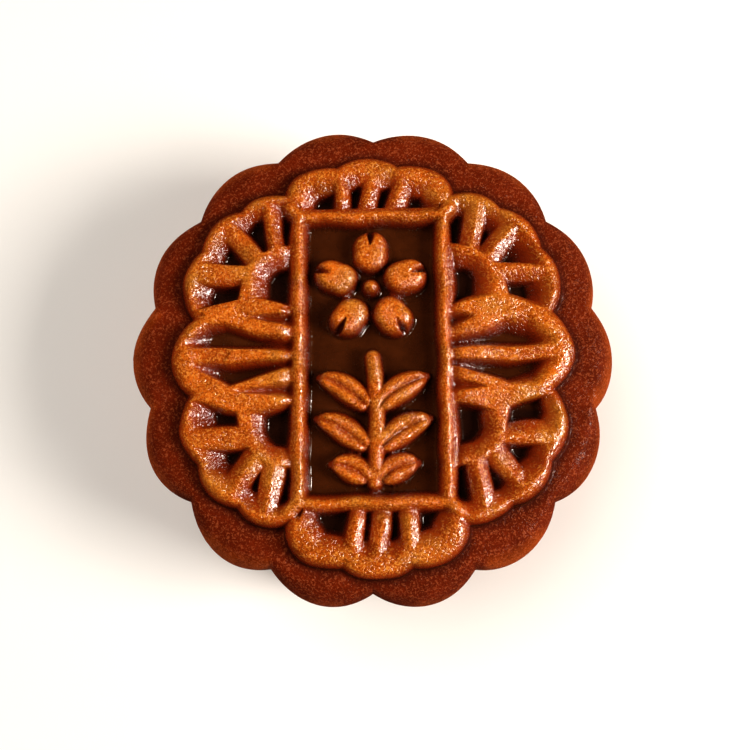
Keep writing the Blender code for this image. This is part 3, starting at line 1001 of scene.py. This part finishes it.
@dataclass(frozen=True)
class BakedEggWashedCrust:
    """Golden syrup crust, brushed with egg wash and baked.

    Where the wash pools on the floors of the hollows it browns dark and sets smooth and glossy. Down the
    relief the colour darkens, partly as the wash browns and partly as painted shade of the recesses; in the
    pits it is painted shadow. On the crests the wash is thin, so the baked dough shows its fine pores, and
    the eye sees a speckled orange-brown with a broken sheen; the pale specks among them are partly painted
    glints, and the dark ones partly painted shade. The real grains are 0.1 to 0.3 mm apart; they are drawn
    0.34 mm apart, to show.

    Attributes:
        glazed_depth: how high the grains stand under the wash, which levels them.
        blotch_spacing: from one unevenly baked blotch to the next.
        wash_index: high, as it stands for many small facets that each catch the light.
        open_roughness: of the dough on the top and on the shoulder.
    """

    floor: str = "#44200B"
    # From pit to crest the colour lightens up the relief. This is partly the wash, which browns lower down,
    # and partly painted shade of the recesses. The pit colour is painted shadow of the deep pits.
    pit: str = "#281208"
    wall: str = "#6A2006"
    slope: str = "#983A0B"
    crest: str = "#CE6615"
    # Painted shade in the crease round the foot of the relief.
    painted_crease_shade: str = "#32100A"
    shoulder: str = "#6A2206"
    # Lighter orange out on the side wall: a painted glow of light through the edge.
    rim: str = "#984210"
    pale_patch: str = "#C0862E"
    # Dark pores of the dough, darkened further as painted shade in the pits between the grains.
    pore: str = "#4A1404"
    # Pale grains of the dough on the crests and on the shoulder, which partly stand for painted glints.
    crest_grain_and_glint: str = "#F4A648"
    shoulder_grain_and_glint: str = "#B8643C"
    grain_spacing: float = 0.34
    grain_depth: float = 0.08
    glazed_depth: float = 0.04
    lump_spacing: float = 1.5
    lump_depth: float = 0.16
    blotch_spacing: float = 4.0
    patch_spacing: float = 9.0
    dough_sheen: float = 0.04
    wash_roughness: float = 0.09
    wash_index: float = 2.1
    open_roughness: tuple[float, float] = (0.42, 0.62)
    pooled_roughness: float = 0.2

    def material(self) -> bpy.types.Material:
        """Build the crust's material.

        Returns:
            The material.
        """
        material = bpy.data.materials.new("baked_egg_washed_crust")
        material.use_nodes = True
        tree = material.node_tree
        shader = tree.nodes["Principled BSDF"]
        skin = self.skin(tree)
        dough_normal, wash_normal = self.normals(tree, skin)
        open_roughness = add_node(tree, Node.CARRIED, skin.outward, 0.0, 0.2, *self.open_roughness)
        ends = {"A": open_roughness, "B": self.pooled_roughness}
        linked = {
            "Base Color": self.colour(tree, skin),
            "Roughness": add_node(tree, Node.BETWEEN, skin.pooled, inputs=ends),
            "Normal": dough_normal,
            "Coat Weight": self.wash(tree, skin),
            "Coat Normal": wash_normal,
        }
        for name, output in linked.items():
            tree.links.new(output, shader.inputs[name])
        shader.inputs["Specular IOR Level"].default_value = self.dough_sheen
        shader.inputs["Coat Roughness"].default_value = self.wash_roughness
        shader.inputs["Coat IOR"].default_value = self.wash_index
        return material

    def skin(self, tree: bpy.types.NodeTree) -> Skin:
        """Read the measures stored on the skin, and add the noises in the cake's own space.

        Args:
            tree: the material's node tree.

        Returns:
            What the finish goes by.
        """
        names = ("rise", "pooled", "outward")
        measures = [add_node(tree, Node.MEASURE, attribute_name=name) for name in names]
        place = add_node(tree, Node.PLACE)
        noises = []
        for spacing, detail, curl in (
            (self.grain_spacing, 1.0, 0.8),
            (self.lump_spacing, 2.0, 0.5),
            (self.blotch_spacing, 3.0, 0.0),
            (self.patch_spacing, 2.0, 0.0),
        ):
            shape = {"Scale": 1.0 / (spacing * MM), "Detail": detail, "Distortion": curl, "Roughness": 0.6}
            noises.append(add_node(tree, Node.NOISE, place, inputs=shape))
        return Skin(*measures, *noises)

    def colour(self, tree: bpy.types.NodeTree, skin: Skin) -> Socket:
        """The crust's colour: by the level in the relief, darkened low down as painted shade, then on the
        shoulder, with painted shade in the crease and a painted glow at the edge, then its uneven baking.

        Args:
            tree: the material's node tree.
            skin: what the colour goes by.

        Returns:
            The colour.
        """
        add = partial(add_node, tree)
        # Painted shade: the colour darkens down into the recesses, partly also because the wash browns
        # there.
        pressed_and_shade_stops = {0.0: self.pit, 0.4: self.wall, 0.75: self.slope, 1.0: self.crest}
        pressed = add(Node.RAMP, skin.rise, stops=pressed_and_shade_stops)
        washed = add(Node.LAID_OVER, skin.pooled, inputs={UNDER: pressed, OVER: linear(self.floor)})
        # Painted shade in the crease at the relief's foot, the shoulder's own colour, and a painted glow
        # out on the side.
        side_shade_and_glow_stops = {0.02: self.painted_crease_shade, 0.3: self.shoulder, 0.7: self.shoulder, 1.0: self.rim}
        side = add(Node.RAMP, skin.outward, stops=side_shade_and_glow_stops)
        past_edge = add(Node.CARRIED, skin.outward, 0.0, 0.02)
        crust = add(Node.LAID_OVER, past_edge, inputs={UNDER: washed, OVER: side})
        tone = add(Node.CARRIED, skin.blotches, 0.35, 0.65, 0.76, 1.14)
        toned = add(Node.SCALED, crust, inputs={"Scale": tone})

        crested = add(Node.CARRIED, skin.rise, 0.55, 0.9)
        pale = add(Node.PRODUCT, add(Node.CARRIED, skin.patches, 0.52, 0.66, 0.0, 0.4), crested)
        patched = add(Node.LAID_OVER, pale, inputs={UNDER: toned, OVER: linear(self.pale_patch)})
        bare = add(Node.LARGER, crested, add(Node.CARRIED, skin.outward, 0.0, 0.25, 0.0, 0.7))
        # Pale grains, partly painted glints.
        grain_and_glint = add(Node.RAMP, skin.outward, stops={0.0: self.crest_grain_and_glint, 0.1: self.shoulder_grain_and_glint})
        grain_and_glint_share = add(Node.PRODUCT, add(Node.CARRIED, skin.grains, 0.54, 0.62, 0.0, 0.48), bare)
        beaded = add(Node.LAID_OVER, grain_and_glint_share, inputs={UNDER: patched, OVER: grain_and_glint})
        # Dark pores, partly painted shade in the pits between the grains.
        pore_share = add(Node.PRODUCT, add(Node.CARRIED, skin.grains, 0.46, 0.37, 0.0, 0.58), bare)
        return add(Node.LAID_OVER, pore_share, inputs={UNDER: beaded, OVER: linear(self.pore)})

    def wash(self, tree: bpy.types.NodeTree, skin: Skin) -> Socket:
        """Weight of the glossy wash: on the grains, broken on the floors, hardly any on the shoulder.

        Args:
            tree: the material's node tree.
            skin: what the weight goes by.

        Returns:
            The weight.
        """
        add = partial(add_node, tree)
        broken = add(Node.CARRIED, skin.lumps, 0.46, 0.6, 0.05, 0.6)
        beaded = add(Node.CARRIED, skin.grains, 0.42, 0.5, 0.15, 1.0)
        on_floor = add(Node.CARRIED, skin.rise, 0.2, 0.06)
        brushed = add(Node.BETWEEN, on_floor, inputs={"A": beaded, "B": broken})
        return add(Node.PRODUCT, brushed, add(Node.CARRIED, skin.outward, 0.0, 0.03, 1.0, 0.1))

    def normals(self, tree: bpy.types.NodeTree, skin: Skin) -> tuple[Socket, Socket]:
        """The bumps of the dough, which the wash fills in on the floors and at the foot of the relief.

        Args:
            tree: the material's node tree.
            skin: what the bumps go by.

        Returns:
            The normal of the dough and that of the wash.
        """
        add = partial(add_node, tree)
        on_relief = add(Node.CARRIED, skin.rise, 0.02, 0.25, 0.1, 1.0)
        bare = add(Node.LARGER, on_relief, add(Node.CARRIED, skin.outward, 0.0, 0.2, 0.1, 1.0))
        coarse = {"Strength": bare, "Distance": self.lump_depth * MM, "Height": skin.lumps}
        beads = add(Node.CARRIED, skin.grains, 0.42, 0.64)
        fine = {"Strength": bare, "Height": beads, "Normal": add(Node.BUMPED, inputs=coarse)}
        depths = (self.grain_depth, self.glazed_depth)
        dough, wash = (add(Node.BUMPED, inputs=fine | {"Distance": depth * MM}) for depth in depths)
        return dough, wash


@dataclass(frozen=True)
class WhitePaintedBoard:
    """A board painted matt white: an even pale ground with hardly any sheen."""

    paint: str = "#F1F0ED"
    roughness: float = 0.7

    def material(self) -> bpy.types.Material:
        """Build the board's material.

        Returns:
            The material.
        """
        material = bpy.data.materials.new("white_painted_board")
        material.use_nodes = True
        shader = material.node_tree.nodes["Principled BSDF"]
        shader.inputs["Base Color"].default_value = linear(self.paint)
        shader.inputs["Roughness"].default_value = self.roughness
        return material


# The cake


@dataclass(frozen=True)
class Cake:
    """The cake's skin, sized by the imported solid's box.

    Attributes:
        low: the box's lowest corner, in metres.
        high: the box's highest corner, in metres.
        oval: the share by which the plan is longer along Y.
        swell: the height of the low swells of a hand-pressed top, which lie a swell_length apart.
        even_edge: how far in from the top's edge they reach their full height.
        grid_cells: cells along a side of the square grid that is laid over the top.
    """

    low: Vector
    high: Vector
    pattern: PressedTop = PressedTop()
    crust: BakedEggWashedCrust = BakedEggWashedCrust()
    relief_depth: float = 2.9
    flute_count: int = 14
    flute_radius: float = 11.0
    oval: float = 0.012
    shoulder_drop: float = 7.0
    wall_bulge: float = 0.5
    foot_round: float = 2.2
    swell: float = 0.10
    swell_length: float = 9.0
    lump: float = 0.035
    lump_length: float = 2.6
    side_swell: float = 0.12
    side_length: float = 16.0
    even_edge: float = 6.0
    grid_cells: int = 250
    settling_rounds: int = 14
    shoulder_rings: int = 15
    wall_rings: int = 10
    foot_rings: int = 5

    @property
    def height(self) -> float:
        """Height of the crests."""
        return self.high.z / MM

    @property
    def rim_radius(self) -> float:
        """Radius to the middle of a flute: the bulge of the wall stands out past it."""
        return (self.high.x - self.low.x) / 2.0 / MM - self.wall_bulge

    def outline(self, angle: Array) -> Array:
        """The fluted side: round flutes that meet in sharp cusps, on a slightly oval plan.

        Args:
            angle: angles round the cake, in radians.

        Returns:
            The radius at each.
        """
        pitch = 2.0 * math.pi / self.flute_count
        turn = (angle - math.pi / 2.0) % pitch - pitch / 2.0
        centre = self.rim_radius - self.flute_radius
        radius = centre * np.cos(turn) + np.sqrt(self.flute_radius**2 - (centre * np.sin(turn)) ** 2)
        return radius * (1.0 + self.oval * np.sin(angle) ** 2)

    def top_height(self, x: Array, y: Array) -> Array:
        """Height of the pressed top.

        Args:
            x, y: the points.

        Returns:
            The height at each point.
        """
        level = self.pattern.level(x, y)
        edge = smooth_step(self.pattern.reach, self.pattern.reach - self.even_edge, np.hypot(x, y))
        swells = self.swell * waves(x, y, self.swell_length, Uneven.TOP_SWELLS) * (0.3 + 0.7 * level)
        lumps = self.lump * waves(x, y, self.lump_length, Uneven.TOP_LUMPS, count=30) * level
        return self.height - self.relief_depth * (HIGHEST_LEVEL - level) + (swells + lumps) * edge

    def square_grid(self) -> tuple[Array, Array]:
        """A square grid laid over the disk of the top, with cells of like area.

        Returns:
            The grid's x and y.
        """
        line = np.linspace(-1.0, 1.0, self.grid_cells + 1)
        across, up = np.meshgrid(line, line)
        wide = np.abs(across) >= np.abs(up)
        radius = np.where(wide, across, up)
        longer = np.where(np.abs(radius) < 1e-9, 1.0, radius)
        share = np.where(wide, up, across) / longer * math.pi / 4.0
        angle = np.where(wide, share, math.pi / 2.0 - share)
        return self.pattern.reach * radius * np.cos(angle), self.pattern.reach * radius * np.sin(angle)

    def settle(self, x: Array, y: Array) -> tuple[Array, Array]:
        """Draw the grid towards the steep walls, so that they get as many cells as the flats.

        Args:
            x, y: the grid's points, one row for each row of the grid.

        Returns:
            The settled x and y; the grid's edge stays where it is.
        """
        for _ in range(self.settling_rounds):
            z = self.top_height(x, y)
            pulls = []
            for axis in (0, 1):
                run = np.hypot(np.diff(x, axis=axis), np.diff(y, axis=axis))
                pulls.append(np.sqrt(1.0 + (np.diff(z, axis=axis) / run) ** 2))
            below, above = pulls[0][:-1, 1:-1], pulls[0][1:, 1:-1]
            before, after = pulls[1][1:-1, :-1], pulls[1][1:-1, 1:]
            total = below + above + before + after
            settled = []
            for value in (x, y):
                pulled = below * value[:-2, 1:-1] + above * value[2:, 1:-1]
                pulled = pulled + before * value[1:-1, :-2] + after * value[1:-1, 2:]
                fresh = value.copy()
                fresh[1:-1, 1:-1] = 0.45 * value[1:-1, 1:-1] + 0.55 * pulled / total
                settled.append(fresh)
            x, y = settled
        return x, y

    def side_profile(self) -> list[tuple[float, float, float]]:
        """The rings below the top.

        Returns:
            For each ring, the share of the way out to the flutes, an inset and a height.
        """
        floor = self.height - HIGHEST_LEVEL * self.relief_depth
        wall_top = floor - self.shoulder_drop
        rings = []
        for turn in np.linspace(0.0, math.pi / 2.0, self.shoulder_rings + 1)[1:]:
            rings.append((math.sin(turn), 0.0, floor - self.shoulder_drop * (1.0 - math.cos(turn))))
        for share in np.linspace(0.0, 1.0, self.wall_rings + 1)[1:]:
            bulge = self.wall_bulge * math.sin(math.pi * share)
            rings.append((1.0, -bulge, wall_top + (self.foot_round - wall_top) * share))
        for turn in np.linspace(0.0, math.pi / 2.0, self.foot_rings + 1)[1:]:
            inset = self.foot_round * (1.0 - math.cos(turn))
            rings.append((1.0, inset, self.foot_round * (1.0 - math.sin(turn))))
        return rings

    def ring_points(self, angle: Array) -> Array:
        """The points of the side.

        Args:
            angle: the angles of a ring's points, in radians.

        Returns:
            One row for each point, ring by ring.
        """
        outline = self.outline(angle)
        points = []
        for outward, inset, height in self.side_profile():
            level = np.full_like(angle, height)
            radius = self.pattern.reach + (outline - self.pattern.reach) * outward - inset
            way_round = angle * self.rim_radius
            uneven = self.side_swell * waves(way_round, level, self.side_length, Uneven.SIDE_SWELLS)
            radius = radius + uneven * outward * (1.0 - abs(2.0 * height / self.height - 1.0)) ** 0.5
            points.append(np.stack([radius * np.cos(angle), radius * np.sin(angle), level], axis=1))
        return np.concatenate(points)

    def mesh(self) -> bpy.types.Mesh:
        """Build the skin: the settled grid of the top, the rings of the side and the flat base.

        Returns:
            The mesh, with its measures.
        """
        x, y = self.settle(*self.square_grid())
        top = np.stack([x, y, self.top_height(x, y)], axis=-1).reshape(-1, 3)
        index = np.arange(x.size).reshape(x.shape)
        cells = np.stack([index[:-1, :-1], index[:-1, 1:], index[1:, 1:], index[1:, :-1]], axis=-1)
        faces = cells.reshape(-1, 4).tolist()
        edge = np.concatenate([index[0, :-1], index[:-1, -1], index[-1, :0:-1], index[:0:-1, 0]])
        side = self.ring_points(np.arctan2(top[edge, 1], top[edge, 0]))
        ring = edge
        for following in x.size + np.arange(len(side)).reshape(-1, len(edge)):
            quads = np.stack([np.roll(ring, -1), ring, following, np.roll(following, -1)], axis=1)
            faces += quads.tolist()
            ring = following
        faces.append(ring[::-1].tolist())
        mesh = bpy.data.meshes.new("mooncake_skin")
        mesh.from_pydata((np.concatenate([top, side]) * MM).tolist(), [], faces)
        mesh.shade_smooth()
        self.store_measures(mesh)
        return mesh

    def store_measures(self, mesh: bpy.types.Mesh) -> None:
        """Store what the crust's finish reads: level in the relief, pooled wash and reach outwards.

        Args:
            mesh: the skin.
        """
        x, y, _ = np.array([vertex.co for vertex in mesh.vertices]).T / MM
        radius = np.hypot(x, y)
        level = np.where(radius <= self.pattern.reach - 0.01, self.pattern.level(x, y), 0.0)
        outline = self.pattern.outline()
        angles = np.linspace(-math.pi, math.pi, len(outline))
        past = radius - np.interp(np.arctan2(y, x), angles, outline)
        in_panel = smooth_step(0.5, -0.5, self.pattern.frame.outside(x, y))
        wide_floor = np.maximum(smooth_step(9.0, 7.5, abs(y)), in_panel)
        # rise and outward also steer the crust's painted shade in the recesses and in the crease, and its
        # painted glow at the edge.
        measures = {
            "rise": level,
            "pooled": wide_floor * smooth_step(0.0, -1.5, past) * (1.0 - smooth_step(0.02, 0.22, level)),
            "outward": np.clip((past + 0.2) / 7.0, 0.0, 1.0) * (1.0 - smooth_step(0.1, 0.4, level)),
        }
        for name, values in measures.items():
            attribute = mesh.attributes.new(name, "FLOAT", "POINT")
            attribute.data.foreach_set("value", values.astype(np.float32))

    def build(self) -> bpy.types.Object:
        """Build and dress the cake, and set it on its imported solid's body.

        Returns:
            The cake.
        """
        cake = bpy.data.objects.new("mooncake_crust", self.mesh())
        bpy.context.scene.collection.objects.link(cake)
        cake.data.materials.append(self.crust.material())
        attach(cake, "root")
        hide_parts("mooncake")
        log.info("%s: %d vertices", cake.name, len(cake.data.vertices))
        return cake


# The studio


@dataclass(frozen=True)
class Softbox:
    """A square softbox that faces the cake, with its lengths in metres and its power in watts.

    Attributes:
        heading: where it hangs, seen from the cake.
        mirrored: whether glossy surfaces show it.
    """

    name: str
    heading: tuple[float, float, float]
    distance: float
    size: float
    power: float
    colour: str
    mirrored: bool = True

    def hang(self, target: Vector) -> None:
        """Hang it and point it at a target.

        Args:
            target: the place it faces, in metres.
        """
        data = bpy.data.lights.new(self.name, "AREA")
        data.size = self.size
        data.energy = self.power
        data.color = linear(self.colour)[:3]
        light = bpy.data.objects.new(self.name, data)
        light.visible_glossy = self.mirrored
        toward = Vector(self.heading).normalized()
        light.location = target + toward * self.distance
        light.rotation_euler = (-toward).to_track_quat("-Z", "Y").to_euler()
        bpy.context.scene.collection.objects.link(light)
        log.info("%s: hung", self.name)


@dataclass(frozen=True)
class Studio:
    """A pale floor, soft light and the camera, with lengths in metres.

    Attributes:
        target: the middle of the cake's top.
        room_light: the strength of the room's light at the foot of its walls and at its ceiling.
        camera_distance: from the camera to the target along the line of sight.
        camera_tilt: how far the line of sight leans from straight down, in radians.
        camera_right: how far the camera stands aside, across the line of sight.
        camera_down: how far it stands towards -Y, across the line of sight.
    """

    target: Vector
    floor: WhitePaintedBoard = WhitePaintedBoard()
    floor_size: float = 3.0
    key: Softbox = Softbox("key_softbox", (0.80, -0.16, 0.54), 0.60, 0.25, 4.6, "#FFF6EC")
    fill: Softbox = Softbox("fill_softbox", (-0.58, 0.30, 0.76), 1.0, 1.0, 9.0, "#FFF8F0", False)
    room_colour: str = "#FBFBFC"
    room_light: tuple[float, float] = (0.20, 0.04)
    camera_distance: float = 0.1129
    camera_tilt: float = math.radians(8.5)
    camera_right: float = 0.000301
    camera_down: float = 0.003462
    lens: float = 36.0
    nearest: float = 0.005

    def build_floor(self) -> None:
        """Lay the floor under the cake."""
        bpy.ops.mesh.primitive_plane_add(size=self.floor_size)
        board = bpy.context.active_object
        board.name = "studio_floor"
        board.data.materials.append(self.floor.material())
        board.visible_glossy = False
        log.info("%s: laid", board.name)

    def build_room(self) -> None:
        """Light the room dimly, most of all low down, so that the cake's side isn't black."""
        world = bpy.data.worlds.new("studio_room")
        bpy.context.scene.world = world
        world.cycles_visibility.glossy = False
        world.use_nodes = True
        tree = world.node_tree
        up = add_node(tree, Node.UP, add_node(tree, Node.HEADING))
        backdrop = tree.nodes["Background"]
        backdrop.inputs["Color"].default_value = linear(self.room_colour)
        strength = add_node(tree, Node.CARRIED, up, 0.1, 0.6, *self.room_light)
        tree.links.new(strength, backdrop.inputs["Strength"])
        log.info("%s: lit", world.name)

    def build_camera(self) -> None:
        """Stand the camera over the cake, leaning towards -Y."""
        data = bpy.data.cameras.new("camera")
        data.sensor_width = data.lens = self.lens
        data.clip_start = self.nearest
        camera = bpy.data.objects.new("camera", data)
        sight = Vector((0.0, math.sin(self.camera_tilt), -math.cos(self.camera_tilt)))
        upward = Vector((0.0, math.cos(self.camera_tilt), math.sin(self.camera_tilt)))
        offset = Vector((self.camera_right, 0.0, 0.0)) - upward * self.camera_down
        camera.location = self.target - sight * self.camera_distance + offset
        camera.rotation_euler = (self.camera_tilt, 0.0, 0.0)
        bpy.context.scene.collection.objects.link(camera)
        bpy.context.scene.camera = camera
        log.info("%s: standing", camera.name)

    def build(self) -> None:
        """Build the floor, the lights and the camera, and show colours as they are."""
        self.build_floor()
        self.key.hang(self.target)
        self.fill.hang(self.target)
        self.build_room()
        self.build_camera()
        bpy.context.scene.view_settings.view_transform = "Standard"
        bpy.context.scene.view_settings.look = "Medium High Contrast"


def main() -> None:
    """Build the cake and the studio round it."""
    logging.basicConfig(level=logging.INFO, format="%(name)s: %(message)s")
    low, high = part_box("mooncake")
    Cake(low, high).build()
    Studio(Vector((0.0, 0.0, high.z))).build()


if __name__ == "__main__":
    main()
